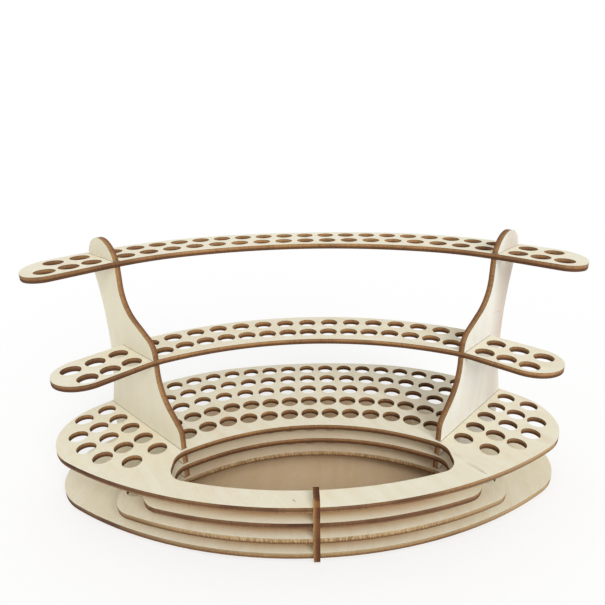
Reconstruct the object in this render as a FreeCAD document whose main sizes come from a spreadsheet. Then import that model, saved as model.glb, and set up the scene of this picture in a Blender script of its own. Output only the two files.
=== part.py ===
import FreeCAD
import Part
import Sketcher
import math
import os

Vector = FreeCAD.Vector
UP = Vector(0, 0, 1)

# A desk organiser for pencils, brushes and small craft tools, laser cut from thin birch plywood.
# A bow-shaped deck over a solid base has a tray opening and five parallel rows of pencil holes.
# Two more tiers of holes rise behind it, held by two curved uprights that cross every board.
# All boards are flat and lock by half-lap slots: the uprights push in from the back,
# and a comb at the front centre holds the edges of the four lower boards.
# Plans are drawn from the apex of the middle row, X to the right and Y to the back.
# Each row and edge is a bow: a middle arc, a tighter shoulder arc and a straight wing.

SIZES = [
    # board and hole
    ("board", 2.7),
    ("hole_bore", 9.0),
    ("slot_play", 0.1),
    # the middle row's bow, which the other rows run parallel to
    ("middle_radius", 214.0),
    ("shoulder_radius", 89.5),
    ("wing_angle", 45.0),
    ("wing_reach", 40.5),
    # rows from the front to the back, measured from the middle row
    ("row_one_back", -25.3),
    ("row_two_back", -12.7),
    ("row_four_back", 12.2),
    ("row_five_back", 24.8),
    # holes on each side of the centre one, up to the uprights
    ("row_one_count", 6),
    ("row_two_count", 7),
    ("row_three_count", 7),
    ("row_four_count", 8),
    ("row_five_count", 9),
    # holes on each wing, outside the uprights
    ("wing_one_count", 2),
    ("wing_two_count", 3),
    ("wing_three_count", 3),
    ("wing_four_count", 3),
    ("wing_five_count", 2),
    ("wing_one_pitch", 12.9),
    ("wing_two_pitch", 10.3),
    ("wing_three_pitch", 11.2),
    ("wing_four_pitch", 10.4),
    ("wing_five_pitch", 12.2),
    # where the uprights cross the wings, and the free strip on each side of them
    ("upright_out", 79.6),
    ("upright_strip", 8.25),
    # deck and base outline
    ("front_radius", 200.0),
    ("front_apex", 93.6),
    ("tip_radius", 31.0),
    ("rear_back", 32.5),
    # tray opening
    ("rim_width", 10.0),
    ("tray_half_width", 63.2),
    ("tray_rear_radius", 108.0),
    ("tray_rear_apex", 36.0),
    ("tray_rear_corner", 9.0),
    ("tray_front_corner", 9.0),
    # the two rings under the deck
    ("ring_back", -19.0),
    ("ring_corner", 12.0),
    ("ring_wing_corner", 4.0),
    ("lower_ring_half_width", 89.0),
    ("upper_ring_half_width", 74.8),
    # middle tier
    ("mid_front_radius", 140.0),
    ("mid_front_shoulder", 40.0),
    ("mid_front_apex", 21.6),
    ("mid_front_back", -19.0),
    ("mid_rear_radius", 156.0),
    ("mid_rear_apex", 8.5),
    ("mid_rear_back", 8.6),
    ("mid_end_out", 106.5),
    # top tier
    ("top_front_radius", 165.0),
    ("top_front_apex", 3.9),
    ("top_front_back", 4.5),
    ("top_end_out", 97.8),
    ("top_end_radius", 20.0),
    ("top_end_corner", 8.0),
    # heights
    ("foot_drop", 2.0),
    ("layer_step", 7.9),
    ("mid_rise", 41.0),
    ("top_rise", 83.8),
    # uprights, as distances from the middle row's wing line and heights over the deck
    ("foot_front", -35.0),
    ("foot_back", 31.5),
    ("toe_height", 6.5),
    ("toe_radius", 6.8),
    ("heel_height", 35.4),
    ("heel_radius", 26.0),
    ("waist_front", -19.6),
    ("shelf_height", 43.0),
    ("shelf_radius", 8.5),
    ("neck_height", 72.2),
    ("neck_radius", 18.0),
    ("neck_front", 4.8),
    ("crown_radius", 13.0),
    ("crown_height", 93.1),
    ("back_waist", 22.3),
    ("back_waist_height", 43.0),
    # front clip
    ("clip_proud", 1.0),
    ("clip_inset", 0.8),
    ("clip_above", 4.0),
    ("clip_corner", 3.0),
    ("clip_foot_corner", 1.5),
    ("notch_depth", 4.6),
]

doc = FreeCAD.newDocument("PencilBrushHolder")
sheet = doc.addObject("Spreadsheet::Sheet", "Sizes")
for line_number, (alias, value) in enumerate(SIZES, start=1):
    sheet.set("A%d" % line_number, alias.replace("_", " "))
    sheet.set("B%d" % line_number, str(value))
    sheet.setAlias("B%d" % line_number, alias)
doc.recompute()


def size(alias):
    return float(getattr(sheet, alias))


# directions of the right wing: across the rows to the back, and out along the wing
WING = math.radians(size("wing_angle"))
ACROSS = Vector(math.sin(WING), math.cos(WING), 0)
ALONG = Vector(math.cos(WING), -math.sin(WING), 0)

REACH = size("wing_reach")
BOARD = size("board")
SLOT = BOARD + size("slot_play")


def on_wing(back, out):
    return ACROSS * (REACH + back) + ALONG * out


class Bow:
    # middle arc centred on the Y axis, shoulder arc inside it, wing line at a distance from the origin
    def __init__(self, apex, middle, shoulder, reach):
        self.middle = middle
        self.shoulder = shoulder
        self.middle_centre = Vector(0, apex - middle, 0)
        drop = reach - shoulder - ACROSS.dot(self.middle_centre)
        self.turn = WING - math.acos(drop / (middle - shoulder))
        toward = Vector(math.sin(self.turn), math.cos(self.turn), 0)
        self.shoulder_centre = self.middle_centre + toward * (middle - shoulder)
        self.out = ALONG.dot(self.shoulder_centre)
        self.wing_start = self.shoulder_centre + ACROSS * shoulder

    def length_to(self, out):
        # length along the bow from the apex to the line across the rows at this distance out
        length = self.middle * self.turn + self.shoulder * (WING - self.turn)
        if out >= self.out:
            return length + out - self.out
        return length - self.shoulder * math.asin((self.out - out) / self.shoulder)

    def point(self, length):
        arc = self.middle * self.turn
        if length <= arc:
            angle = length / self.middle
            return self.middle_centre + Vector(math.sin(angle), math.cos(angle), 0) * self.middle
        bend = self.shoulder * (WING - self.turn)
        if length <= arc + bend:
            angle = self.turn + (length - arc) / self.shoulder
            return self.shoulder_centre + Vector(math.sin(angle), math.cos(angle), 0) * self.shoulder
        return self.wing_start + ALONG * (length - arc - bend)


def parallel_bow(back):
    return Bow(back, size("middle_radius") + back, size("shoulder_radius") + back, REACH + back)


ROW_NAMES = ["one", "two", "three", "four", "five"]


def row_back(name):
    if name == "three":
        return 0.0
    return size("row_%s_back" % name)


def row_points(name, wing_holes=None):
    # hole centres of one row: evenly spaced from the centre to the free strip, then the wing's own
    bow = parallel_bow(row_back(name))
    count = int(size("row_%s_count" % name))
    pitch = bow.length_to(size("upright_out") - size("upright_strip")) / count
    points = [bow.point(0.0)]
    half = [bow.point(pitch * (number + 1)) for number in range(count)]
    if wing_holes is None:
        wing_holes = int(size("wing_%s_count" % name))
    first = size("upright_out") + size("upright_strip")
    for number in range(wing_holes):
        out = first + size("wing_%s_pitch" % name) * number
        half.append(on_wing(row_back(name), out))
    for point in half:
        points.append(point)
        points.append(Vector(-point.x, point.y, 0))
    return points


def origin_plane(body, role):
    return [item for item in body.Origin.OriginFeatures if item.Role == role][0]


def new_body(label):
    body = doc.addObject("PartDesign::Body", label)
    body.Label = label
    return body


class Outline:
    # one sketch drawn as a chain of arcs and lines, each size bound to the sheet
    def __init__(self, body, name, role="XY_Plane"):
        self.sketch = body.newObject("Sketcher::SketchObject", name)
        self.sketch.AttachmentSupport = [(origin_plane(body, role), "")]
        self.sketch.MapMode = "FlatFace"
        self.chain = []

    def value(self, expression):
        value = self.sketch.evalExpression(expression)
        return float(getattr(value, "Value", value))

    def bind(self, expression, *constraint):
        value = self.value(expression)
        if constraint[0] == "Angle":
            value = math.radians(value)
        index = self.sketch.addConstraint(Sketcher.Constraint(*constraint, value))
        self.sketch.setExpression("Constraints[%d]" % index, expression)

    def add(self, *constraint):
        self.sketch.addConstraint(Sketcher.Constraint(*constraint))

    def arc(self, centre, radius, start, stop):
        # anticlockwise when the second point comes after the first round the centre, else clockwise
        first = math.atan2(start.y - centre.y, start.x - centre.x)
        turn = math.atan2(stop.y - centre.y, stop.x - centre.x) - first
        turn = (turn + math.pi) % (2 * math.pi) - math.pi
        circle = Part.Circle(centre, UP, radius)
        low = first if turn > 0 else first + turn
        index = self.sketch.addGeometry(Part.ArcOfCircle(circle, low, low + abs(turn)), False)
        ends = (1, 2) if turn > 0 else (2, 1)
        self.chain.append((index,) + ends)
        return index

    def line(self, start, stop):
        index = self.sketch.addGeometry(Part.LineSegment(start, stop), False)
        self.chain.append((index, 1, 2))
        return index

    def smooth(self):
        last, now = self.chain[-2:]
        self.add("Tangent", last[0], last[2], now[0], now[1])

    def corner(self):
        last, now = self.chain[-2:]
        self.add("Coincident", last[0], last[2], now[0], now[1])

    def close(self):
        first = self.chain[0]
        last = self.chain[-1]
        self.add("Coincident", last[0], last[2], first[0], first[1])

    def loop(self, corners):
        lines = []
        for number, corner in enumerate(corners):
            following = corners[(number + 1) % len(corners)]
            lines.append(self.sketch.addGeometry(Part.LineSegment(corner, following), False))
        for number, line in enumerate(lines):
            self.add("Coincident", line, 2, lines[(number + 1) % len(lines)], 1)
        return lines

    def box(self, left, right, bottom, top):
        low = Vector(self.value(left), self.value(bottom), 0)
        high = Vector(self.value(right), self.value(top), 0)
        lines = self.loop([low, Vector(high.x, low.y, 0), high, Vector(low.x, high.y, 0)])
        self.add("Horizontal", lines[0])
        self.add("Vertical", lines[1])
        self.add("Horizontal", lines[2])
        self.add("Vertical", lines[3])
        self.bind(bottom, "DistanceY", -1, 1, lines[0], 1)
        self.bind(right, "DistanceX", -1, 1, lines[1], 1)
        self.bind(top, "DistanceY", -1, 1, lines[2], 1)
        self.bind(left, "DistanceX", -1, 1, lines[3], 1)

    def rounded_box(self, left, right, top, bottom_corner, top_corner):
        # stands on the X axis, with one radius for both bottom corners and one for both top ones
        low = Vector(self.value(left), 0, 0)
        high = Vector(self.value(right), self.value(top), 0)
        corners = [
            (Vector(low.x, low.y, 0), Vector(1, 0, 0), bottom_corner),
            (Vector(high.x, low.y, 0), Vector(0, 1, 0), bottom_corner),
            (Vector(high.x, high.y, 0), Vector(-1, 0, 0), top_corner),
            (Vector(low.x, high.y, 0), Vector(0, -1, 0), top_corner),
        ]
        lines = []
        for number, (corner, heading, radius) in enumerate(corners):
            following, turned, next_radius = corners[(number + 1) % 4]
            reach = self.value(next_radius)
            stop = following - heading * reach
            lines.append(self.line(corner + heading * self.value(radius), stop))
            if number:
                self.smooth()
            arc = self.arc(stop + turned * reach, reach, stop, following + turned * reach)
            self.smooth()
            self.bind(next_radius, "Radius", arc)
        last, first = self.chain[-1], self.chain[0]
        self.add("Tangent", last[0], last[2], first[0], first[1])
        self.add("Horizontal", lines[0])
        self.add("Vertical", lines[1])
        self.add("Horizontal", lines[2])
        self.add("Vertical", lines[3])
        self.add("PointOnObject", lines[0], 1, -1)
        self.bind(right, "DistanceX", -1, 1, lines[1], 1)
        self.bind(top, "DistanceY", -1, 1, lines[2], 1)
        self.bind(left, "DistanceX", -1, 1, lines[3], 1)

    def on_axis(self, index, end, radius, apex):
        # an arc centred on the Y axis, with one end there at the apex
        self.add("PointOnObject", index, 3, -2)
        self.add("PointOnObject", index, end, -2)
        self.bind(radius, "Radius", index)
        self.bind(apex, "DistanceY", -1, 1, index, end)

    def wing(self, index, reach, reverse=False):
        angle = "90 deg + Sizes.wing_angle * 1 deg" if not reverse else "Sizes.wing_angle * -1 deg"
        self.bind(angle, "Angle", index)
        self.bind(reach, "Distance", -1, 1, index)

    def back_along(self, bow, start, middle, shoulder, apex, reach):
        # wing line, shoulder and middle arc, from the wing's end back to the centre
        self.line(start, bow.wing_start)
        wing = self.chain[-1][0]
        self.smooth()
        self.wing(wing, reach)
        turn = bow.middle_centre + (bow.shoulder_centre - bow.middle_centre).normalize() * bow.middle
        arc = self.arc(bow.shoulder_centre, bow.shoulder, bow.wing_start, turn)
        self.smooth()
        self.bind(shoulder, "Radius", arc)
        top = bow.middle_centre + Vector(0, bow.middle, 0)
        arc = self.arc(bow.middle_centre, bow.middle, turn, top)
        self.smooth()
        self.on_axis(arc, self.chain[-1][2], middle, apex)
        return top

    def out_along(self, bow, stop, middle, shoulder, apex, reach):
        # the same edge drawn outwards, from the centre to the wing's end
        top = bow.middle_centre + Vector(0, bow.middle, 0)
        turn = bow.middle_centre + (bow.shoulder_centre - bow.middle_centre).normalize() * bow.middle
        arc = self.arc(bow.middle_centre, bow.middle, top, turn)
        self.on_axis(arc, self.chain[-1][1], middle, apex)
        arc = self.arc(bow.shoulder_centre, bow.shoulder, turn, bow.wing_start)
        self.smooth()
        self.bind(shoulder, "Radius", arc)
        self.line(bow.wing_start, stop)
        self.smooth()
        self.wing(self.chain[-1][0], reach, reverse=True)
        return top

    def shut(self, top, bottom):
        self.line(top, bottom)
        self.corner()
        self.close()


FRONT_CENTRE = Vector(0, size("front_radius") - size("front_apex"), 0)
FRONT = Vector(0, -size("front_apex"), 0)


def front_edge(outline, stop):
    arc = outline.arc(FRONT_CENTRE, size("front_radius"), FRONT, stop)
    outline.on_axis(arc, 1, "Sizes.front_radius", "-Sizes.front_apex")


def deck_outline(body):
    # front arc, round wing tip, rear edge parallel to the rows
    outline = Outline(body, "DeckOutline")
    tip = size("tip_radius")
    reach = REACH + size("rear_back")
    across = reach - tip - ACROSS.dot(FRONT_CENTRE)
    out = math.sqrt((size("front_radius") - tip) ** 2 - across ** 2) + ALONG.dot(FRONT_CENTRE)
    centre = ACROSS * (reach - tip) + ALONG * out
    start = FRONT_CENTRE + (centre - FRONT_CENTRE).normalize() * size("front_radius")
    front_edge(outline, start)
    stop = centre + ACROSS * tip
    arc = outline.arc(centre, tip, start, stop)
    outline.smooth()
    outline.bind("Sizes.tip_radius", "Radius", arc)
    top = outline.back_along(
        parallel_bow(size("rear_back")),
        stop,
        "Sizes.middle_radius + Sizes.rear_back",
        "Sizes.shoulder_radius + Sizes.rear_back",
        "Sizes.rear_back",
        "Sizes.wing_reach + Sizes.rear_back",
    )
    outline.shut(top, FRONT)
    return outline.sketch


def ring_front(outline, half_width):
    # front arc, rounded front corner and the start of the straight side
    corner = size("ring_corner")
    inner = size("front_radius") - corner
    centre_x = half_width - corner
    centre = Vector(centre_x, FRONT_CENTRE.y - math.sqrt(inner ** 2 - centre_x ** 2), 0)
    start = FRONT_CENTRE + (centre - FRONT_CENTRE).normalize() * size("front_radius")
    front_edge(outline, start)
    side = centre + Vector(corner, 0, 0)
    arc = outline.arc(centre, corner, start, side)
    outline.smooth()
    outline.bind("Sizes.ring_corner", "Radius", arc)
    return side


def ring_side(outline, side, stop, alias):
    line = outline.line(side, stop)
    outline.smooth()
    outline.add("Vertical", line)
    outline.bind("Sizes.%s" % alias, "DistanceX", -1, 1, line, 1)


def ring_rear(outline, centre):
    corner = size("ring_wing_corner")
    outline.smooth()
    outline.bind("Sizes.ring_wing_corner", "Radius", outline.chain[-1][0])
    top = outline.back_along(
        parallel_bow(size("ring_back")),
        centre + ACROSS * corner,
        "Sizes.middle_radius + Sizes.ring_back",
        "Sizes.shoulder_radius + Sizes.ring_back",
        "Sizes.ring_back",
        "Sizes.wing_reach + Sizes.ring_back",
    )
    outline.shut(top, FRONT)
    return outline.sketch


def lower_ring_outline(body):
    # its sides run straight back until they meet the wing line
    outline = Outline(body, "LowerRingOutline")
    half_width = size("lower_ring_half_width")
    side = ring_front(outline, half_width)
    corner = size("ring_wing_corner")
    reach = REACH + size("ring_back") - corner
    centre_x = half_width - corner
    centre = Vector(centre_x, (reach - math.sin(WING) * centre_x) / math.cos(WING), 0)
    stop = centre + Vector(corner, 0, 0)
    ring_side(outline, side, stop, "lower_ring_half_width")
    outline.arc(centre, corner, stop, centre + ACROSS * corner)
    return ring_rear(outline, centre)


def upper_ring_outline(body):
    # its sides turn outwards between the first two wing holes of the front row
    outline = Outline(body, "UpperRingOutline")
    half_width = size("upper_ring_half_width")
    side = ring_front(outline, half_width)
    end = size("upright_out") + size("upright_strip") + size("wing_one_pitch") / 2
    bend = Vector(half_width, (math.cos(WING) * half_width - end) / math.sin(WING), 0)
    ring_side(outline, side, bend, "upper_ring_half_width")
    corner = size("ring_wing_corner")
    centre = on_wing(size("ring_back") - corner, end - corner)
    stop = centre + ALONG * corner
    line = outline.line(bend, stop)
    outline.corner()
    outline.bind("90 deg - Sizes.wing_angle * 1 deg", "Angle", line)
    end_expression = "Sizes.upright_out + Sizes.upright_strip + Sizes.wing_one_pitch / 2"
    outline.bind(end_expression, "Distance", -1, 1, line)
    outline.arc(centre, corner, stop, centre + ACROSS * corner)
    return ring_rear(outline, centre)


def tray_outline(body):
    # opening with bowed front and rear edges, straight sides and rounded corners
    outline = Outline(body, "TrayOutline")
    half_width = size("tray_half_width")
    front_radius = size("front_radius") - size("rim_width")
    front = Vector(0, FRONT.y + size("rim_width"), 0)
    corner = size("tray_front_corner")
    centre_x = half_width - corner
    centre_y = FRONT_CENTRE.y - math.sqrt((front_radius - corner) ** 2 - centre_x ** 2)
    centre = Vector(centre_x, centre_y, 0)
    start = FRONT_CENTRE + (centre - FRONT_CENTRE).normalize() * front_radius
    arc = outline.arc(FRONT_CENTRE, front_radius, front, start)
    radius = "Sizes.front_radius - Sizes.rim_width"
    outline.on_axis(arc, 1, radius, "-Sizes.front_apex + Sizes.rim_width")
    side = centre + Vector(corner, 0, 0)
    arc = outline.arc(centre, corner, start, side)
    outline.smooth()
    outline.bind("Sizes.tray_front_corner", "Radius", arc)
    corner = size("tray_rear_corner")
    rear_radius = size("tray_rear_radius")
    rear = Vector(0, -size("tray_rear_apex"), 0)
    rear_centre = rear - Vector(0, rear_radius, 0)
    centre_x = half_width - corner
    centre_y = rear_centre.y + math.sqrt((rear_radius - corner) ** 2 - centre_x ** 2)
    centre = Vector(centre_x, centre_y, 0)
    stop = centre + Vector(corner, 0, 0)
    ring_side(outline, side, stop, "tray_half_width")
    start = rear_centre + (centre - rear_centre).normalize() * rear_radius
    arc = outline.arc(centre, corner, stop, start)
    outline.smooth()
    outline.bind("Sizes.tray_rear_corner", "Radius", arc)
    arc = outline.arc(rear_centre, rear_radius, start, rear)
    outline.smooth()
    outline.on_axis(arc, 2, "Sizes.tray_rear_radius", "-Sizes.tray_rear_apex")
    outline.shut(rear, front)
    return outline.sketch


def mid_tier_outline(body):
    # a bowed strip with round wing ends, wider in the middle than the rows need
    outline = Outline(body, "MidTierOutline")
    front_back = size("mid_front_back")
    rear_back = size("mid_rear_back")
    front_bow = Bow(-size("mid_front_apex"), size("mid_front_radius"), size("mid_front_shoulder"),
                    REACH + front_back)
    rear_bow = Bow(size("mid_rear_apex"), size("mid_rear_radius"), size("shoulder_radius"),
                   REACH + rear_back)
    end = size("mid_end_out")
    radius = (rear_back - front_back) / 2
    centre = on_wing(front_back + radius, end)
    start = on_wing(front_back, end)
    front = outline.out_along(
        front_bow,
        start,
        "Sizes.mid_front_radius",
        "Sizes.mid_front_shoulder",
        "-Sizes.mid_front_apex",
        "Sizes.wing_reach + Sizes.mid_front_back",
    )
    middle = centre + ALONG * radius
    stop = on_wing(rear_back, end)
    circle = Part.Arc(start, middle, stop)
    index = outline.sketch.addGeometry(circle, False)
    outline.chain.append((index, 1, 2))
    outline.smooth()
    centre_x = (
        "(Sizes.wing_reach + (Sizes.mid_front_back + Sizes.mid_rear_back) / 2)"
        " * sin(Sizes.wing_angle * 1 deg) + Sizes.mid_end_out * cos(Sizes.wing_angle * 1 deg)"
    )
    outline.bind(centre_x, "DistanceX", -1, 1, index, 3)
    top = outline.back_along(
        rear_bow,
        stop,
        "Sizes.mid_rear_radius",
        "Sizes.shoulder_radius",
        "Sizes.mid_rear_apex",
        "Sizes.wing_reach + Sizes.mid_rear_back",
    )
    outline.shut(top, front)
    return outline.sketch


def top_tier_outline(body):
    # rear edge over the deck's own, wing ends with a small front corner and a wide rear one
    outline = Outline(body, "TopTierOutline")
    front_back = size("top_front_back")
    rear_back = size("rear_back")
    front_bow = Bow(size("top_front_apex"), size("top_front_radius"), size("shoulder_radius"),
                    REACH + front_back)
    corner = size("top_end_corner")
    radius = size("top_end_radius")
    end = size("top_end_out")
    end_centre = on_wing(rear_back - radius, end)
    skew = (front_back + corner) - (rear_back - radius)
    corner_centre = on_wing(front_back + corner, end + math.sqrt((radius - corner) ** 2 - skew ** 2))
    start = corner_centre - ACROSS * corner
    front = outline.out_along(
        front_bow,
        start,
        "Sizes.top_front_radius",
        "Sizes.shoulder_radius",
        "Sizes.top_front_apex",
        "Sizes.wing_reach + Sizes.top_front_back",
    )
    middle = end_centre + (corner_centre - end_centre).normalize() * radius
    arc = outline.arc(corner_centre, corner, start, middle)
    outline.smooth()
    outline.bind("Sizes.top_end_corner", "Radius", arc)
    stop = end_centre + ACROSS * radius
    arc = outline.arc(end_centre, radius, middle, stop)
    outline.smooth()
    outline.bind("Sizes.top_end_radius", "Radius", arc)
    centre_x = (
        "(Sizes.wing_reach + Sizes.rear_back - Sizes.top_end_radius)"
        " * sin(Sizes.wing_angle * 1 deg) + Sizes.top_end_out * cos(Sizes.wing_angle * 1 deg)"
    )
    outline.bind(centre_x, "DistanceX", -1, 1, arc, 3)
    top = outline.back_along(
        parallel_bow(rear_back),
        stop,
        "Sizes.middle_radius + Sizes.rear_back",
        "Sizes.shoulder_radius + Sizes.rear_back",
        "Sizes.rear_back",
        "Sizes.wing_reach + Sizes.rear_back",
    )
    outline.shut(top, front)
    return outline.sketch


def pad(body, sketch, name):
    feature = body.newObject("PartDesign::Pad", name)
    feature.Profile = sketch
    feature.setExpression("Length", "Sizes.board")
    return feature


def cut_through(body, sketch, name):
    # both ways, so that no direction has to be chosen
    feature = body.newObject("PartDesign::Pocket", name)
    feature.Profile = sketch
    feature.Type = "ThroughAll"
    feature.Midplane = True
    feature.Refine = False
    return feature


def mirror(body, features, name):
    feature = body.newObject("PartDesign::Mirrored", name)
    feature.Originals = features
    feature.MirrorPlane = (origin_plane(body, "YZ_Plane"), [""])
    body.Tip = feature
    return feature


def drill_row(body, name, wing_holes=None):
    sketch = body.newObject("Sketcher::SketchObject", "Row%s" % name.capitalize())
    sketch.AttachmentSupport = [(origin_plane(body, "XY_Plane"), "")]
    sketch.MapMode = "FlatFace"
    for number, point in enumerate(row_points(name, wing_holes)):
        circle = Part.Circle(point, UP, size("hole_bore") / 2)
        index = sketch.addGeometry(circle, False)
        sketch.addConstraint(Sketcher.Constraint("DistanceX", -1, 1, index, 3, point.x))
        sketch.addConstraint(Sketcher.Constraint("DistanceY", -1, 1, index, 3, point.y))
        if number == 0:
            bore = sketch.addConstraint(Sketcher.Constraint("Diameter", index, size("hole_bore")))
            sketch.setExpression("Constraints[%d]" % bore, "Sizes.hole_bore")
        else:
            sketch.addConstraint(Sketcher.Constraint("Equal", 0, index))
    return cut_through(body, sketch, "Row%sHoles" % name.capitalize())


def upright_slots(body, lap):
    # a slot for each upright, open at the rear edge, from the lap backwards
    outline = Outline(body, "UprightSlotSketch")
    play = "(Sizes.board + Sizes.slot_play) / 2"
    out = size("upright_out")
    low = outline.value("%s" % lap)
    high = outline.value(PAST_REAR)
    plan = [(low, out - SLOT / 2), (low, out + SLOT / 2), (high, out + SLOT / 2), (high, out - SLOT / 2)]
    for side, angle in ((1, "Sizes.wing_angle * -1 deg"), (-1, "Sizes.wing_angle * 1 deg - 180 deg")):
        corners = [on_wing(back, reach) for back, reach in plan]
        corners = [Vector(side * corner.x, corner.y, 0) for corner in corners]
        lines = outline.loop(corners)
        outline.bind(angle, "Angle", lines[0])
        outline.add("Perpendicular", lines[0], lines[1])
        outline.add("Parallel", lines[0], lines[2])
        outline.add("Parallel", lines[1], lines[3])
        outline.bind("Sizes.wing_reach + %s" % lap, "Distance", -1, 1, lines[0])
        outline.bind("Sizes.upright_out + %s" % play, "Distance", -1, 1, lines[1])
        outline.bind("Sizes.wing_reach + %s" % PAST_REAR, "Distance", -1, 1, lines[2])
        outline.bind("Sizes.upright_out - %s" % play, "Distance", -1, 1, lines[3])
    return cut_through(body, outline.sketch, "UprightSlots")


def clip_notch(body):
    # the slot at the front centre for the comb
    outline = Outline(body, "ClipNotchSketch")
    outline.box(
        "(Sizes.board + Sizes.slot_play) / -2",
        "(Sizes.board + Sizes.slot_play) / 2",
        "-Sizes.front_apex - Sizes.board",
        "-Sizes.front_apex + Sizes.notch_depth",
    )
    return cut_through(body, outline.sketch, "ClipNotch")


# half-lap positions across the rows, midway through each board's width at the uprights
DECK_LAP = "(Sizes.foot_front + Sizes.rear_back) / 2"
RING_LAP = "(Sizes.foot_front + Sizes.ring_back) / 2"
MID_LAP = "(Sizes.mid_front_back + Sizes.mid_rear_back) / 2"
TOP_LAP = "(Sizes.top_front_back + Sizes.rear_back) / 2"
PAST_REAR = "Sizes.rear_back + Sizes.board"

# undersides of the boards, over the surface that the feet stand on
LEVELS = {
    "base_plate": "Sizes.foot_drop",
    "lower_ring": "Sizes.foot_drop + Sizes.layer_step",
    "upper_ring": "Sizes.foot_drop + 2 * Sizes.layer_step",
    "deck": "Sizes.foot_drop + 3 * Sizes.layer_step",
    "mid_tier": "Sizes.foot_drop + 3 * Sizes.layer_step + Sizes.mid_rise",
    "top_tier": "Sizes.foot_drop + 3 * Sizes.layer_step + Sizes.top_rise",
}
DECK_TOP = LEVELS["deck"] + " + Sizes.board"
LAPS = {
    "base_plate": DECK_LAP,
    "lower_ring": RING_LAP,
    "upper_ring": RING_LAP,
    "deck": DECK_LAP,
    "mid_tier": MID_LAP,
    "top_tier": TOP_LAP,
}
# moves the plan so that the whole object is centred on the origin
CENTRING = "(Sizes.front_apex + Sizes.clip_proud - Sizes.rear_back) / 2"

# the hollow back of an upright: an arc from its heel on the deck, upright at the waist
BACK_HOLLOW = "(Sizes.foot_back - Sizes.back_waist)"
BACK_RADIUS = "(%s ^ 2 + Sizes.back_waist_height ^ 2) / (2 * %s)" % (BACK_HOLLOW, BACK_HOLLOW)


def build_board(label, outline, rows, tray=False, clip=False):
    body = new_body(label)
    halves = [pad(body, outline(body), "Plate")]
    if tray:
        halves.append(cut_through(body, tray_outline(body), "Tray"))
    tip = mirror(body, halves, "BothHalves")
    for name, wing_holes in rows:
        tip = drill_row(body, name, wing_holes)
    tip = upright_slots(body, LAPS[label])
    if clip:
        tip = clip_notch(body)
    body.Tip = tip
    body.setExpression("Placement.Base.y", CENTRING)
    body.setExpression("Placement.Base.z", LEVELS[label])
    return body


def build_boards():
    every_row = [(name, None) for name in ROW_NAMES]
    return [
        build_board("base_plate", deck_outline, [], clip=True),
        build_board("lower_ring", lower_ring_outline, [("one", None)], tray=True, clip=True),
        build_board("upper_ring", upper_ring_outline, [("one", 1)], tray=True, clip=True),
        build_board("deck", deck_outline, every_row, tray=True, clip=True),
        build_board("mid_tier", mid_tier_outline, [("two", None), ("three", None)]),
        build_board("top_tier", top_tier_outline, [("four", None), ("five", None)]),
    ]


def between_arcs(convex, convex_radius, hollow, hollow_radius):
    # ends of the straight line that touches a convex arc and then a hollow one
    apart = hollow - convex
    lean = math.atan2(apart.y, apart.x) + math.acos((convex_radius + hollow_radius) / apart.Length)
    normal = Vector(math.cos(lean), math.sin(lean), 0)
    return convex + normal * convex_radius, hollow - normal * hollow_radius


def s_step(outline, foot, toe, toe_name, heel, heel_name, edge):
    # one S of the front edge: a round shoulder, a slanted line and a hollow up to the next edge
    toe_radius = size(toe_name + "_radius")
    heel_radius = size(heel_name + "_radius")
    start, stop = between_arcs(toe, toe_radius, heel, heel_radius)
    outline.line(foot, toe - Vector(toe_radius, 0, 0))
    if len(outline.chain) > 1:
        outline.smooth()
    line = outline.chain[-1][0]
    outline.add("Vertical", line)
    outline.bind("Sizes.%s" % edge, "DistanceX", -1, 1, line, 1)
    for centre, name, first, second in (
        (toe, toe_name, toe - Vector(toe_radius, 0, 0), start),
        (heel, heel_name, stop, heel + Vector(heel_radius, 0, 0)),
    ):
        if name == heel_name:
            outline.line(start, stop)
            outline.smooth()
        arc = outline.arc(centre, size(name + "_radius"), first, second)
        outline.smooth()
        outline.bind("Sizes.%s_radius" % name, "Radius", arc)
        outline.bind("%s + Sizes.%s_height" % (DECK_TOP, name), "DistanceY", -1, 1, arc, 3)
    return heel + Vector(heel_radius, 0, 0)


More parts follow.
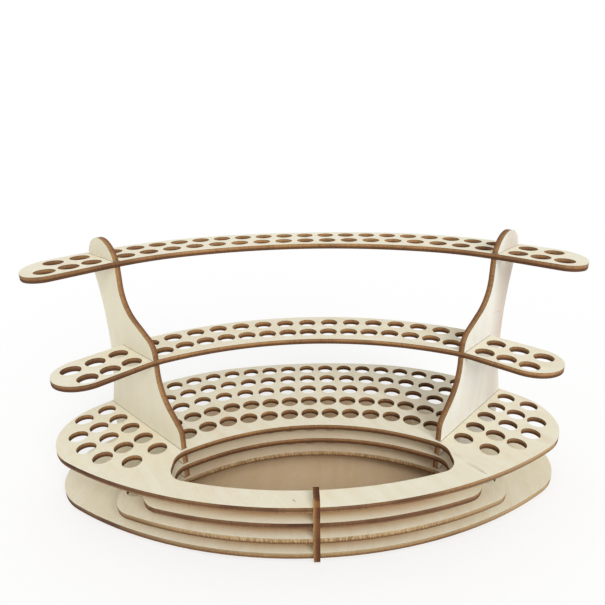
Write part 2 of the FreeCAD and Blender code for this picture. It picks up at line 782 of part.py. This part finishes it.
def upright_profile(body):
    # X runs back across the rows from the middle row's wing line, Y up from the feet
    outline = Outline(body, "Profile", "XZ_Plane")
    deck_top = outline.value(DECK_TOP)

    def centre(edge, name, hand):
        x = size(edge) + hand * size(name + "_radius")
        return Vector(x, deck_top + size(name + "_height"), 0)

    foot = Vector(size("foot_front"), 0, 0)
    toe = centre("foot_front", "toe", 1)
    heel = centre("waist_front", "heel", -1)
    shelf = centre("waist_front", "shelf", 1)
    neck = centre("neck_front", "neck", -1)
    waist = s_step(outline, foot, toe, "toe", heel, "heel", "foot_front")
    outline.add("PointOnObject", 0, 1, -1)
    throat = s_step(outline, waist, shelf, "shelf", neck, "neck", "waist_front")

    crown_radius = size("crown_radius")
    crown = Vector(size("neck_front") + crown_radius, deck_top + size("crown_height") - crown_radius, 0)
    back_radius = outline.value(BACK_RADIUS)
    back = Vector(size("back_waist") + back_radius, deck_top + size("back_waist_height"), 0)
    apart = back - crown
    along = (apart.Length ** 2 + crown_radius ** 2 - back_radius ** 2) / (2 * apart.Length)
    lift = math.sqrt(crown_radius ** 2 - along ** 2)
    toward = Vector(apart).normalize()
    nape = crown + toward * along + Vector(-toward.y, toward.x, 0) * lift
    heel_back = Vector(size("foot_back"), deck_top, 0)
    foot_back = Vector(size("foot_back"), 0, 0)

    outline.line(throat, crown - Vector(crown_radius, 0, 0))
    outline.smooth()
    line = outline.chain[-1][0]
    outline.add("Vertical", line)
    outline.bind("Sizes.neck_front", "DistanceX", -1, 1, line, 1)
    arc = outline.arc(crown, crown_radius, crown - Vector(crown_radius, 0, 0), nape)
    outline.smooth()
    outline.bind("Sizes.crown_radius", "Radius", arc)
    height = "%s + Sizes.crown_height - Sizes.crown_radius" % DECK_TOP
    outline.bind(height, "DistanceY", -1, 1, arc, 3)
    arc = outline.arc(back, back_radius, nape, heel_back)
    outline.corner()
    outline.bind("%s + Sizes.back_waist_height" % DECK_TOP, "DistanceY", -1, 1, arc, 3)
    outline.bind("Sizes.back_waist + %s" % BACK_RADIUS, "DistanceX", -1, 1, arc, 3)
    line = outline.line(heel_back, foot_back)
    outline.corner()
    outline.bind(DECK_TOP, "DistanceY", -1, 1, line, 1)
    outline.add("Vertical", line)
    outline.bind("Sizes.foot_back", "DistanceX", -1, 1, line, 1)
    outline.add("PointOnObject", line, 2, -1)
    outline.shut(foot_back, foot)
    return outline.sketch


def build_upright(label, side):
    body = new_body(label)
    feature = pad(body, upright_profile(body), "Plate")
    feature.Midplane = True
    outline = Outline(body, "BoardSlotSketch", "XZ_Plane")
    for board, level in LEVELS.items():
        outline.box(
            "Sizes.foot_front - Sizes.board",
            LAPS[board],
            "%s - Sizes.slot_play / 2" % level,
            "%s + Sizes.board + Sizes.slot_play / 2" % level,
        )
    body.Tip = cut_through(body, outline.sketch, "BoardSlots")
    body.Placement = FreeCAD.Placement(Vector(0, 0, 0), FreeCAD.Rotation(UP, 90))
    across = "sin(Sizes.wing_angle * 1 deg)"
    along = "cos(Sizes.wing_angle * 1 deg)"
    x = "Sizes.wing_reach * %s + Sizes.upright_out * %s" % (across, along)
    y = "Sizes.wing_reach * %s - Sizes.upright_out * %s" % (along, across)
    body.setExpression("Placement.Base.x", "(%s) * %d" % (x, side))
    body.setExpression("Placement.Base.y", "%s + %s" % (CENTRING, y))
    body.setExpression("Placement.Rotation.Angle", "90 deg - Sizes.wing_angle * %d deg" % side)
    return body


def build_clip():
    # comb at the front centre: X runs to the back and Y up from the foot
    body = new_body("front_clip")
    outline = Outline(body, "Profile", "YZ_Plane")
    front = "-Sizes.front_apex - Sizes.clip_proud"
    rear = "-Sizes.front_apex + Sizes.rim_width - Sizes.clip_inset"
    top = "%s + Sizes.clip_above" % DECK_TOP
    outline.rounded_box(front, rear, top, "Sizes.clip_foot_corner", "Sizes.clip_corner")
    feature = pad(body, outline.sketch, "Plate")
    feature.Midplane = True
    outline = Outline(body, "BoardSlotSketch", "YZ_Plane")
    for board in ("base_plate", "lower_ring", "upper_ring", "deck"):
        outline.box(
            "-Sizes.front_apex + Sizes.notch_depth",
            "-Sizes.front_apex + Sizes.rim_width",
            "%s - Sizes.slot_play / 2" % LEVELS[board],
            "%s + Sizes.board + Sizes.slot_play / 2" % LEVELS[board],
        )
    body.Tip = cut_through(body, outline.sketch, "BoardSlots")
    body.setExpression("Placement.Base.y", CENTRING)
    return body


def check(bodies):
    for item in doc.Objects:
        if "Invalid" in item.State or "Error" in item.State:
            raise RuntimeError("%s failed: %s" % (item.Name, item.State))
    for body in bodies:
        if body.Shape.isNull() or not body.Shape.isValid():
            raise RuntimeError("%s has no valid shape" % body.Label)


bodies = build_boards()
bodies.append(build_upright("left_upright", -1))
bodies.append(build_upright("right_upright", 1))
bodies.append(build_clip())
doc.recompute()
check(bodies)

os.makedirs("parts", exist_ok=True)
for body in bodies:
    body.Shape.exportStep("parts/%s.step" % body.Label)
    box = body.Shape.BoundBox
    spans = [(box.XMin, box.XMax), (box.YMin, box.YMax), (box.ZMin, box.ZMax)]
    extents = ", ".join("%.2f to %.2f" % span for span in spans)
    print("%s: %d solid, %.0f mm3, %s" % (body.Label, len(body.Shape.Solids), body.Shape.Volume, extents))
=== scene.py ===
import math
import bmesh
import bpy
from mathutils import Matrix, Vector

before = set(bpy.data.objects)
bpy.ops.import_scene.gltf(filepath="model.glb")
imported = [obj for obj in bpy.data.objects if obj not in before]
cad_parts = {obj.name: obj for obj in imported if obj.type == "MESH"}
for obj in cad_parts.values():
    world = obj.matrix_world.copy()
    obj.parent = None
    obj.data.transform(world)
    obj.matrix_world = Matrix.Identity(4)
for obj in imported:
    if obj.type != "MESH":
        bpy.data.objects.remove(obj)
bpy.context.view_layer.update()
print("frame loaded:", ", ".join(sorted(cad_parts)))


class Wire:  # one output of a node, so that shader maths reads as plain sums
    def __init__(self, finish, socket):
        self.finish = finish
        self.socket = socket

    def maths(self, operation, first, second=0.0):
        return self.finish.node("ShaderNodeMath", {"operation": operation}, {0: first, 1: second})

    def __add__(self, other):
        return self.maths("ADD", self, other)

    def __radd__(self, other):
        return self.maths("ADD", other, self)

    def __sub__(self, other):
        return self.maths("SUBTRACT", self, other)

    def __rsub__(self, other):
        return self.maths("SUBTRACT", other, self)

    def __mul__(self, other):
        return self.maths("MULTIPLY", self, other)

    def __rmul__(self, other):
        return self.maths("MULTIPLY", other, self)

    def __truediv__(self, other):
        return self.maths("DIVIDE", self, other)

    def __gt__(self, other):
        return self.maths("GREATER_THAN", self, other)

    def __lt__(self, other):
        return self.maths("LESS_THAN", self, other)

    def __abs__(self):
        return self.maths("ABSOLUTE", self)


class Finish:  # the nodes that make a material or the world
    def __init__(self, owner):
        owner.use_nodes = True
        self.tree = owner.node_tree
        self.shader = self.tree.nodes.get("Principled BSDF")

    def node(self, kind, settings, sockets, output=0):
        made = self.tree.nodes.new(kind)
        for name, value in settings.items():
            if name == "stops":
                ramp = made.color_ramp
                for place, colour in value[1:-1]:
                    ramp.elements.new(place)
                for element, (place, colour) in zip(ramp.elements, value):
                    element.position = place
                    element.color = colour
            else:
                setattr(made, name, value)
        for name, value in sockets.items():
            self.feed(made, name, value)
        return Wire(self, made.outputs[output])

    def feed(self, made, name, value):
        if isinstance(value, Wire):
            self.tree.links.new(value.socket, made.inputs[name])
        else:
            made.inputs[name].default_value = value

    def vector(self, operation, first, second=None):  # a number that Vector Math makes of vectors
        sockets = {0: first} if second is None else {0: first, 1: second}
        return self.node("ShaderNodeVectorMath", {"operation": operation}, sockets, "Value")

    def dot(self, place, direction):
        return self.vector("DOT_PRODUCT", place, direction)

    # a Mix node has its colours on inputs 6 and 7 and on output 2
    def blend(self, share, under, over, way="MIX"):
        settings = {"data_type": "RGBA", "blend_type": way}
        return self.node("ShaderNodeMix", settings, {0: share, 6: under, 7: over}, 2)

    def stain(self, share, under, tint):
        return self.blend(share, under, tint, "MULTIPLY")

    def spread(self, value, low, high):  # 0 at low, 1 at high, smooth between
        sockets = {0: value, 1: low, 2: high}
        return self.node("ShaderNodeMapRange", {"interpolation_type": "SMOOTHSTEP"}, sockets)

    def noise(self, pattern, *place):
        spot = {axis: length * step for axis, (length, step) in enumerate(zip(place, pattern["steps"]))}
        sockets = {
            "Vector": self.node("ShaderNodeCombineXYZ", {}, spot), "Scale": 1.0,
            "Detail": pattern.get("detail", 2.0), "Roughness": pattern.get("rough", 0.5),
        }
        return self.node("ShaderNodeTexNoise", {}, sockets)

    def pattern(self, pattern, *place):
        return self.spread(self.noise(pattern, *place), *pattern["levels"])

    # 1 for rays straight from the camera, off something glossy or through something clear
    def seesBackdrop(self):
        seen = self.node("ShaderNodeLightPath", {}, {}, "Is Camera Ray")
        for ray in ("Is Glossy Ray", "Is Transmission Ray"):
            seen = seen.maths("MAXIMUM", seen, self.node("ShaderNodeLightPath", {}, {}, ray))
        return seen


# the wings of the boards run at 45 degrees, and each upright stands square across one
# middleRow and reach place the wing's own axes; the brown line beside a slot fades over seam, in metres from
# the upright's face, and runs on by play in front of the upright
wing = {
    "x": math.cos(math.radians(45)), "y": math.sin(math.radians(45)),
    "middleRow": 0.03105, "reach": 0.0405, "uprightOut": 0.0796, "uprightFront": -0.035, "halfBoard": 0.00135,
    "seam": (0.0001, 0.00042), "play": 0.0002, "seamShare": 0.7,
}
# the front rims are arcs about one centre, and edge is how far inside the arc a side still counts as the rim
# each pair is where a change starts and ends: behind and clear are metres inward from the rim, middle to ends
# are metres to either side of the middle, char to pale are metres east of it, and upper and tickDepth are
# shares of a sheet's thickness
frontRim = {
    "centre": (0, 0.13745, 0), "radius": 0.200, "edge": 0.0005,
    "behind": (0.0004, 0.0072), "clear": (0.014, 0.030),
    "middle": (0.02, 0.09), "tray": (0.055, 0.08), "ticks": (0.03, 0.08), "ends": (0.05, 0.095),
    "char": (0.02, 0.10), "holes": (-0.03, 0.08), "pale": (0.05, 0.1),
    "upper": (0.1, 0.55), "tickDepth": (0.1, 0.4),
}
# each sheet: across is the way it faces, grain the run of its grain, tone its colour from pale to honey at 1,
# figure how strongly it is figured, bleach how white it is and seed its place in the patterns
# its shade-and-smoke pair is how brown it is close behind its front rim, painted shade under the board above,
# and farther in, where the tray is, smoke with the painted shadow of the things that stand in the tray
# sides names how its cut sides burnt; char, rimChar and endChar, for its west and east ends, are how far they
# are charred, though the upper ring's char is painted shade; the hole value darkens the hole walls towards the
# east as painted shade; ticks is how far they are ticked with pale wood, and eastPale how far the rim pales
# east
# marks on a face: tint, place in metres, direction, half length and half width in millimetres, and strength
# bands on the cut sides: tint, strength, and the heights in metres where one starts, is full, fades and ends
plySheets = {
    "base_plate": {
        "across": (0, 0, 1), "grain": (0.15, 1, 0), "tone": 0.15, "seed": 1.3, "shadeAndSmoke": (0.88, 0.55),
        "sides": "golden", "ticks": 0.15, "eastPale": 0.45, "endChar": (0.55, 0),
    },
    "lower_ring": {
        "across": (0, 0, 1), "grain": (-0.1, 1, 0), "tone": 0.05, "seed": 2.9, "shadeAndSmoke": (0.88, 0.35),
        "sides": "golden", "ticks": 0.65, "eastPale": 0.3,
    },
    "upper_ring": {
        "across": (0, 0, 1), "grain": (1, 0.05, 0), "tone": 0.05, "seed": 4.1, "shadeAndSmoke": (0.88, 0.2),
        # its char is painted shade, for its inner edges at the back of the tray, which lie in the deck's shade
        "char": 0.3, "rimChar": 0.4,
    },
    "deck": {
        "across": (0, 0, 1), "grain": (0.6, -0.8, 0), "tone": 0.06, "seed": 5.7,
        "rimChar": 0.6, "paintedHoleShade": 0.3, "endChar": (0.2, 0), "eastPale": 0.3,
        "marks": [
            ("knot", (-0.0091, -0.0582, 0), (0.6, -0.8, 0), 1.7, 0.55, 0.75),
            ("knot", (0.0712, -0.0415, 0), (0.6, -0.8, 0), 6.5, 1.9, 0.3),
            ("knot", (0.0732, -0.0448, 0), (0.6, -0.8, 0), 3.4, 1.0, 0.42),
            ("knot", (0.0660, -0.0330, 0), (0.6, -0.8, 0), 5.0, 2.2, 0.2),
        ],
    },
    "mid_tier": {"across": (0, 0, 1), "grain": (1, 0, 0), "tone": 0.05, "seed": 7.2, "endChar": (0.5, 0.05)},
    "top_tier": {
        "across": (0, 0, 1), "grain": (1, 0.03, 0), "tone": 0.05, "seed": 8.8, "endChar": (0.35, 0.25),
    },
    "left_upright": {
        "across": (-wing["x"], -wing["y"], 0), "grain": (0.1, -0.1, 1), "tone": 0.3, "seed": 10.4,
        "figure": 0.4, "sides": "toasted",
    },
    "right_upright": {
        "across": (wing["x"], -wing["y"], 0), "grain": (0.12, 0.12, 1), "tone": -0.2, "seed": 11.6,
        "bleach": 1.0, "sides": "toasted",
        "marks": [
            # painted shade with pink reflected light down the rear of the right upright, as from the pencils
            # that stand beside it
            ("blush", (0.1006, 0.0172, 0.075), (0, 0, 1), 95, 15, 1.0),
            ("knot", (0.0954, 0.0120, 0.0806), (0.98, 0.98, -0.206), 8.5, 0.45, 0.3),
            ("knot", (0.0940, 0.0106, 0.0746), (0, 0, 1), 0.8, 0.6, 0.3),
        ],
    },
    "front_clip": {
        # its cut sides take a ramp with a painted edge highlight on their left side
        "across": (-1, 0, 0), "grain": (0, 0, 1), "tone": 0.3, "seed": 13.1, "sides": "charredWithHighlight", "char": 0.1,
        "bands": [
            ("gold", 0.22, 0.0286, 0.0299, 0.0312, 0.0320),
            ("gold", 0.10, 0.012, 0.016, 0.022, 0.025),
            ("char", 0.50, 0.0316, 0.0323, 0.1, 0.2),
        ],
    },
}
# the shares say how strongly each pattern tints a face; sway is in millimetres, markSway is the share of it
# that bends a mark, and markMiddle takes off what that shifts the mark on average
veneer = {
    "pale": (0.825, 0.80, 0.66, 1), "white": (0.75, 0.75, 0.70, 1), "honey": (0.74, 0.66, 0.46, 1),
    "rose": (0.68, 0.52, 0.38, 1), "fleck": (0.42, 0.28, 0.17, 1), "knot": (0.51, 0.35, 0.26, 1),
    # the pink mark colour is painted shade with pink reflected light, not a stain of the wood
    # the smoke brown marks the undersides as laser smoke, and is also painted shade between the boards and in
    # the tray
    "blush": (0.82, 0.73, 0.69, 1), "smoke": (0.60, 0.335, 0.105, 1),
    "bandShare": 0.32, "cloudShare": 0.3, "toneShare": 0.72, "flameShare": 0.3, "fibreShare": 0.16,
    "fleckShare": 0.7, "underSmoke": 0.3, "underClouds": 0.3,
    "sway": 16, "markSway": 0.12, "markMiddle": 0.95, "markFade": (0.1, 1.0),
    "seedAlong": 37, "seedBeside": 19,
    "roughness": 0.6, "fibreRoughness": 0.06, "relief": 0.15, "reliefDepth": 0.0002, "gloss": 0.25,
}
# steps are how fast a pattern changes per millimetre along the grain, beside it and through the sheet, and
# levels where its noise starts to show and is full
patterns = {
    "sway": {"steps": (0.012, 0.02, 0.2)},
    "bands": {"steps": (0.004, 0.16, 0.3), "detail": 3.0, "levels": (0.36, 0.68)},
    "flames": {"steps": (0.02, 0.05, 0.3), "detail": 3.0, "levels": (0.58, 0.74)},
    "fibres": {"steps": (0.06, 1.5, 1.0), "detail": 4.0, "rough": 0.65, "levels": (0.34, 0.70)},
    "clouds": {"steps": (0.16, 0.22, 0.3), "detail": 4.0, "rough": 0.7, "levels": (0.3, 0.75)},
    "clusters": {"steps": (0.03, 0.03, 0.2), "levels": (0.52, 0.64)},
    "flecks": {"steps": (0.3, 2.4, 1.0), "levels": (0.69, 0.76)},
    "smoke": {"steps": (0.05, 0.05, 0.1), "detail": 3.0, "levels": (0.3, 0.7)},
    "jitter": {"steps": (0.5, 0.5, 0.2)},
    "stretches": {"steps": (0.045, 0.045, 0.1), "levels": (0.40, 0.66)},
    "stripes": {"steps": (0.9, 0.9, 0.15), "detail": 3.0, "levels": (0.42, 0.72)},
    "ticks": {"steps": (1.7, 1.7, 0.3), "detail": 3.0, "levels": (0.44, 0.60)},
}
# the cut sides: four ramps of plies through a sheet, from its low face to its high one, and tints over them
scorch = {
    "burnt": [
        (0.00, (0.045, 0.019, 0.009, 1)), (0.12, (0.110, 0.050, 0.019, 1)), (0.24, (0.150, 0.070, 0.025, 1)),
        (0.34, (0.075, 0.032, 0.012, 1)), (0.46, (0.220, 0.105, 0.038, 1)), (0.60, (0.370, 0.190, 0.078, 1)),
        (0.70, (0.400, 0.215, 0.090, 1)), (0.82, (0.430, 0.245, 0.105, 1)), (0.92, (0.360, 0.200, 0.085, 1)),
        (1.00, (0.170, 0.085, 0.036, 1)),
    ],
    "golden": [
        (0.00, (0.090, 0.042, 0.016, 1)), (0.10, (0.155, 0.076, 0.026, 1)), (0.28, (0.200, 0.104, 0.038, 1)),
        (0.36, (0.150, 0.074, 0.027, 1)), (0.44, (0.300, 0.180, 0.080, 1)), (0.60, (0.340, 0.215, 0.102, 1)),
        (0.66, (0.230, 0.130, 0.054, 1)), (0.74, (0.360, 0.250, 0.128, 1)), (0.93, (0.380, 0.280, 0.150, 1)),
        (1.00, (0.190, 0.110, 0.055, 1)),
    ],
    "toasted": [
        (0.00, (0.090, 0.038, 0.017, 1)), (0.14, (0.200, 0.090, 0.037, 1)), (0.30, (0.270, 0.124, 0.050, 1)),
        (0.37, (0.170, 0.076, 0.032, 1)), (0.46, (0.330, 0.172, 0.068, 1)), (0.62, (0.370, 0.205, 0.083, 1)),
        (0.68, (0.240, 0.120, 0.048, 1)), (0.77, (0.380, 0.222, 0.092, 1)), (0.94, (0.350, 0.210, 0.093, 1)),
        (1.00, (0.190, 0.106, 0.048, 1)),
    ],
    # the clip's ramp runs from char on its right side to light wood on its left, and the light left side is a
    # painted edge highlight
    "charredWithHighlight": [
        (0.00, (0.075, 0.028, 0.010, 1)), (0.15, (0.090, 0.031, 0.009, 1)), (0.42, (0.115, 0.038, 0.010, 1)),
        (0.62, (0.195, 0.074, 0.020, 1)), (0.82, (0.310, 0.148, 0.045, 1)), (1.00, (0.440, 0.270, 0.100, 1)),
    ],
    "char": (0.070, 0.026, 0.012, 1), "gold": (0.44, 0.24, 0.07, 1), "tan": (0.34, 0.20, 0.10, 1),
    "tick": (0.56, 0.41, 0.23, 1),
    "jitter": 0.1, "stretchShare": 0.3, "stripeShare": 0.3, "tanShare": 0.75, "roughness": 0.78,
}
perMetre = 1000  # millimetres in a metre


def sheetReach(node, across):
    reach = [across.dot(vertex.co) for vertex in node.data.vertices]
    return min(reach), max(reach)


def plyFinish(name, sheet):
    across = Vector(sheet["across"]).normalized()
    run = Vector(sheet["grain"])
    run = (run - across * run.dot(across)).normalized()
    low, high = sheetReach(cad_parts[name], across)
    figure = sheet.get("figure", 1)
    liesFlat = across.z > 0.5
    ply = bpy.data.materials.new(name + "_ply")
    finish = Finish(ply)
    place = finish.node("ShaderNodeTexCoord", {}, {}, "Object")
    facing = finish.node("ShaderNodeTexCoord", {}, {}, "Normal")
    onFace = abs(finish.dot(facing, across)) > 0.5
    east = finish.dot(place, (1, 0, 0))

    # millimetres along the grain, beside it and through the sheet
    along = finish.dot(place, run) * perMetre + sheet["seed"] * veneer["seedAlong"]
    beside = finish.dot(place, across.cross(run)) * perMetre + sheet["seed"] * veneer["seedBeside"]
    layer = finish.dot(place, across) * perMetre + sheet["seed"]

    # veneer: swaying bands, a few rosy flames, fine fibres, and short flecks in clusters
    sway = finish.noise(patterns["sway"], along, beside, layer) * veneer["sway"]
    bent = beside + sway
    bands = finish.pattern(patterns["bands"], along, bent, layer)
    flames = finish.pattern(patterns["flames"], along, bent, layer)
    fibres = finish.pattern(patterns["fibres"], along, bent, layer)
    clouds = finish.pattern(patterns["clouds"], along, beside, layer)
    clusters = finish.pattern(patterns["clusters"], along, beside, layer)
    flecks = finish.pattern(patterns["flecks"], along, beside, layer) * clusters
    honey = (bands * veneer["bandShare"] + clouds * veneer["cloudShare"]) * figure
    honey = honey + sheet["tone"] * veneer["toneShare"]
    board = finish.blend(sheet.get("bleach", 0), veneer["pale"], veneer["white"])
    board = finish.blend(honey, board, veneer["honey"])
    board = finish.blend(flames * veneer["flameShare"] * figure, board, veneer["rose"])
    board = finish.blend(fibres * veneer["fibreShare"] * figure, board, veneer["rose"])
    board = finish.blend(flecks * veneer["fleckShare"], board, veneer["fleck"])

    for tint, spot, way, long, wide, strength in sheet.get("marks", []):
        spot = Vector(spot)
        way = Vector(way).normalized()
        over = across.cross(way)
        drift = sway * veneer["markSway"] - veneer["markMiddle"]
        ahead = (finish.dot(place, way) - way.dot(spot)) * (perMetre / long)
        aside = ((finish.dot(place, over) - over.dot(spot)) * perMetre + drift) / wide
        away = finish.vector("LENGTH", finish.node("ShaderNodeCombineXYZ", {}, {0: ahead, 1: aside}))
        board = finish.stain((1 - finish.spread(away, *veneer["markFade"])) * strength, board, veneer[tint])

    # the laser's smoke browns the undersides of the boards, in clouds
    if liesFlat:
        under = finish.dot(facing, (0, 0, -1)) > 0.5
        smoke = finish.pattern(patterns["smoke"], along, beside, layer)
        smoke = smoke * veneer["underClouds"] + veneer["underSmoke"]
        board = finish.stain(under * smoke, board, veneer["smoke"])

    # painted shade between the boards, behind the middle of their front rims, and farther in, where the tray
    # is, smoke with the painted shadow of the things that stand in the tray
    plan = finish.node("ShaderNodeVectorMath", {"operation": "MULTIPLY"}, {0: place, 1: (1, 1, 0)})
    fromCentre = finish.vector("DISTANCE", plan, frontRim["centre"])
    if "shadeAndSmoke" in sheet:
        near, deep = sheet["shadeAndSmoke"]
        inward = frontRim["radius"] - fromCentre
        behind = finish.spread(inward, *frontRim["behind"])
        clear = finish.spread(inward, *frontRim["clear"])
        middle = 1 - finish.spread(abs(east), *frontRim["middle"])
        inTray = 1 - finish.spread(abs(east), *frontRim["tray"])
        smoke = behind * (middle * (1 - clear) * near + inTray * clear * deep)
        board = finish.stain(smoke, board, veneer["smoke"])

    # a brown line where a board meets the burnt side of an upright's slot
    if liesFlat:
        north = finish.dot(place, (0, 1, 0)) - wing["middleRow"]
        out = abs(east) * wing["x"] - north * wing["y"]
        back = abs(east) * wing["x"] + north * wing["y"] - wing["reach"]
        gap = abs(out - wing["uprightOut"]) - wing["halfBoard"]
        seam = (1 - finish.spread(gap, *wing["seam"])) * (back > wing["uprightFront"] - wing["play"])
        board = finish.blend(seam * wing["seamShare"], board, scorch["char"])

    # cut sides: scorched plies, charred at the laser's side, with heavier and lighter stretches
    depth = (finish.dot(place, across) - low) / (high - low)
    jitter = finish.noise(patterns["jitter"], along, beside, layer) * scorch["jitter"] - scorch["jitter"] / 2
    stops = {"stops": scorch[sheet.get("sides", "burnt")]}
    plies = finish.node("ShaderNodeValToRGB", stops, {"Fac": depth + jitter})
    stretches = finish.pattern(patterns["stretches"], along, beside, layer)
    stripes = finish.pattern(patterns["stripes"], along, beside, layer)
    burn = stretches * scorch["stretchShare"] + sheet.get("char", 0)
    rimStart = frontRim["radius"] - frontRim["edge"]
    if "rimChar" in sheet:
        rim = (fromCentre > rimStart) * (1 - finish.spread(east, *frontRim["char"]))
        upper = finish.spread(depth, *frontRim["upper"])
        burn = burn + rim * upper * sheet["rimChar"]
        plies = finish.blend(rim * (1 - upper) * scorch["tanShare"], plies, scorch["tan"])
    # hole walls darker towards the east: painted shade on the walls turned away from the light
    if "paintedHoleShade" in sheet:
        burn = burn + (fromCentre < rimStart) * finish.spread(east, *frontRim["holes"]) * sheet["paintedHoleShade"]
    if "endChar" in sheet:
        westEnd, eastEnd = sheet["endChar"]
        ends = finish.spread(abs(east), *frontRim["ends"])
        burn = burn + ends * ((east > 0) * (eastEnd - westEnd) + westEnd)
    side = finish.blend(burn, plies, scorch["char"])
    if "ticks" in sheet:
        ticks = finish.pattern(patterns["ticks"], along, beside, layer)
        ticked = 1 - finish.spread(abs(east), *frontRim["ticks"])
        ticked = ticked * finish.spread(depth, *frontRim["tickDepth"])
        side = finish.blend(ticks * ticked * sheet["ticks"], side, scorch["tick"])
    else:
        side = finish.blend(stripes * scorch["stripeShare"], side, scorch["char"])
    if "eastPale" in sheet:
        faded = (fromCentre > rimStart) * finish.spread(east, *frontRim["pale"])
        side = finish.blend(faded * sheet["eastPale"], side, scorch["tick"])
    for tint, strength, rise, full, fall, end in sheet.get("bands", []):
        height = finish.dot(place, (0, 0, 1))
        band = finish.spread(height, rise, full) * (1 - finish.spread(height, fall, end))
        side = finish.blend(band * strength, side, scorch[tint])

    colour = finish.blend(onFace, side, board)
    roughness = scorch["roughness"] + onFace * (veneer["roughness"] - scorch["roughness"])
    roughness = roughness + fibres * veneer["fibreRoughness"]
    raised = fibres * onFace + stripes * (1 - onFace)
    bump = {"Strength": veneer["relief"], "Distance": veneer["reliefDepth"], "Height": raised}
    relief = finish.node("ShaderNodeBump", {}, bump)
    finish.feed(finish.shader, "Specular IOR Level", veneer["gloss"])
    finish.feed(finish.shader, "Base Color", colour)
    finish.feed(finish.shader, "Roughness", roughness)
    finish.feed(finish.shader, "Normal", relief)
    return ply


for name, sheet in plySheets.items():
    ply = plyFinish(name, sheet)
    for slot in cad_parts[name].material_slots:
        slot.material = ply
print("birch ply finished:", len(plySheets), "sheets")

# white paper under the object, running out to a white backdrop: nearWhite is how much of the backdrop's white
# it has under the object, and fade is from where to where, in metres, it goes over to all of it
studio = {
    "paper": (0.95, 0.95, 0.945, 1), "paperSize": 12.0, "paperRoughness": 0.9, "fade": (0.0, 0.8),
    "nearWhite": 0.6, "white": (1, 1, 1, 1), "skyStrength": 0.74,
    "sunFrom": (0.34, -0.74, 0.53), "sunStrength": 1.68, "sunSpread": math.radians(35),
}


def buildPaper(studio):
    mesh = bpy.data.meshes.new("paper")
    sheet = bmesh.new()
    bmesh.ops.create_grid(sheet, x_segments=1, y_segments=1, size=studio["paperSize"] / 2)
    sheet.to_mesh(mesh)
    sheet.free()
    paper = bpy.data.objects.new("paper", mesh)
    bpy.context.scene.collection.objects.link(paper)
    material = bpy.data.materials.new("studio_paper")
    finish = Finish(material)
    finish.feed(finish.shader, "Base Color", studio["paper"])
    finish.feed(finish.shader, "Roughness", studio["paperRoughness"])
    finish.feed(finish.shader, "Specular IOR Level", 0.0)
    far = finish.vector("LENGTH", finish.node("ShaderNodeTexCoord", {}, {}, "Object"))
    fade = finish.spread(far, *studio["fade"]) * (1 - studio["nearWhite"]) + studio["nearWhite"]
    white = finish.node("ShaderNodeEmission", {}, {"Color": studio["white"], "Strength": 1.0})
    lit = Wire(finish, finish.shader.outputs[0])
    surface = finish.node("ShaderNodeMixShader", {}, {0: fade * finish.seesBackdrop(), 1: lit, 2: white})
    finish.feed(finish.tree.nodes["Material Output"], "Surface", surface)
    mesh.materials.append(material)


def buildLight(studio):
    world = bpy.data.worlds.new("studio")
    bpy.context.scene.world = world
    sky = Finish(world)
    lit = {"Color": studio["white"], "Strength": studio["skyStrength"]}
    light = sky.node("ShaderNodeBackground", {}, lit)
    backdrop = sky.node("ShaderNodeBackground", {}, {"Color": studio["white"], "Strength": 1.0})
    shown = sky.node("ShaderNodeMixShader", {}, {0: sky.seesBackdrop(), 1: light, 2: backdrop})
    sky.feed(sky.tree.nodes["World Output"], "Surface", shown)
    lamp = bpy.data.lights.new("sun", "SUN")
    lamp.energy = studio["sunStrength"]
    lamp.angle = studio["sunSpread"]
    sun = bpy.data.objects.new("sun", lamp)
    bpy.context.scene.collection.objects.link(sun)
    sun.matrix_world = Vector(studio["sunFrom"]).to_track_quat("Z", "Y").to_matrix().to_4x4()


buildPaper(studio)
buildLight(studio)
print("studio lit")

# solved from the holes and outlines in the photograph: place in metres, turns in radians, lens in millimetres
view = {
    "place": (-0.007357, -0.21811, 0.17044), "yaw": 0.035, "pitch": 0.3611, "roll": 0.0117,
    "lens": 29.448, "sensor": 36, "shiftX": -0.0117, "shiftY": 0.0140, "clipStart": 0.01,
}


def buildCamera(view):
    ahead = Vector((
        math.sin(view["yaw"]) * math.cos(view["pitch"]),
        math.cos(view["yaw"]) * math.cos(view["pitch"]),
        -math.sin(view["pitch"]),
    ))
    level = Vector((math.cos(view["yaw"]), -math.sin(view["yaw"]), 0))
    drop = ahead.cross(level)
    right = math.cos(view["roll"]) * level + math.sin(view["roll"]) * drop
    down = math.cos(view["roll"]) * drop - math.sin(view["roll"]) * level
    lens = bpy.data.cameras.new("camera")
    lens.sensor_width = view["sensor"]
    lens.lens = view["lens"]
    lens.shift_x = view["shiftX"]
    lens.shift_y = view["shiftY"]
    lens.clip_start = view["clipStart"]
    camera = bpy.data.objects.new("camera", lens)
    bpy.context.scene.collection.objects.link(camera)
    turn = Matrix((right, -down, -ahead)).transposed().to_4x4()
    camera.matrix_world = Matrix.Translation(Vector(view["place"])) @ turn
    bpy.context.scene.camera = camera


buildCamera(view)
bpy.context.scene.view_settings.view_transform = "Standard"
print("camera placed")
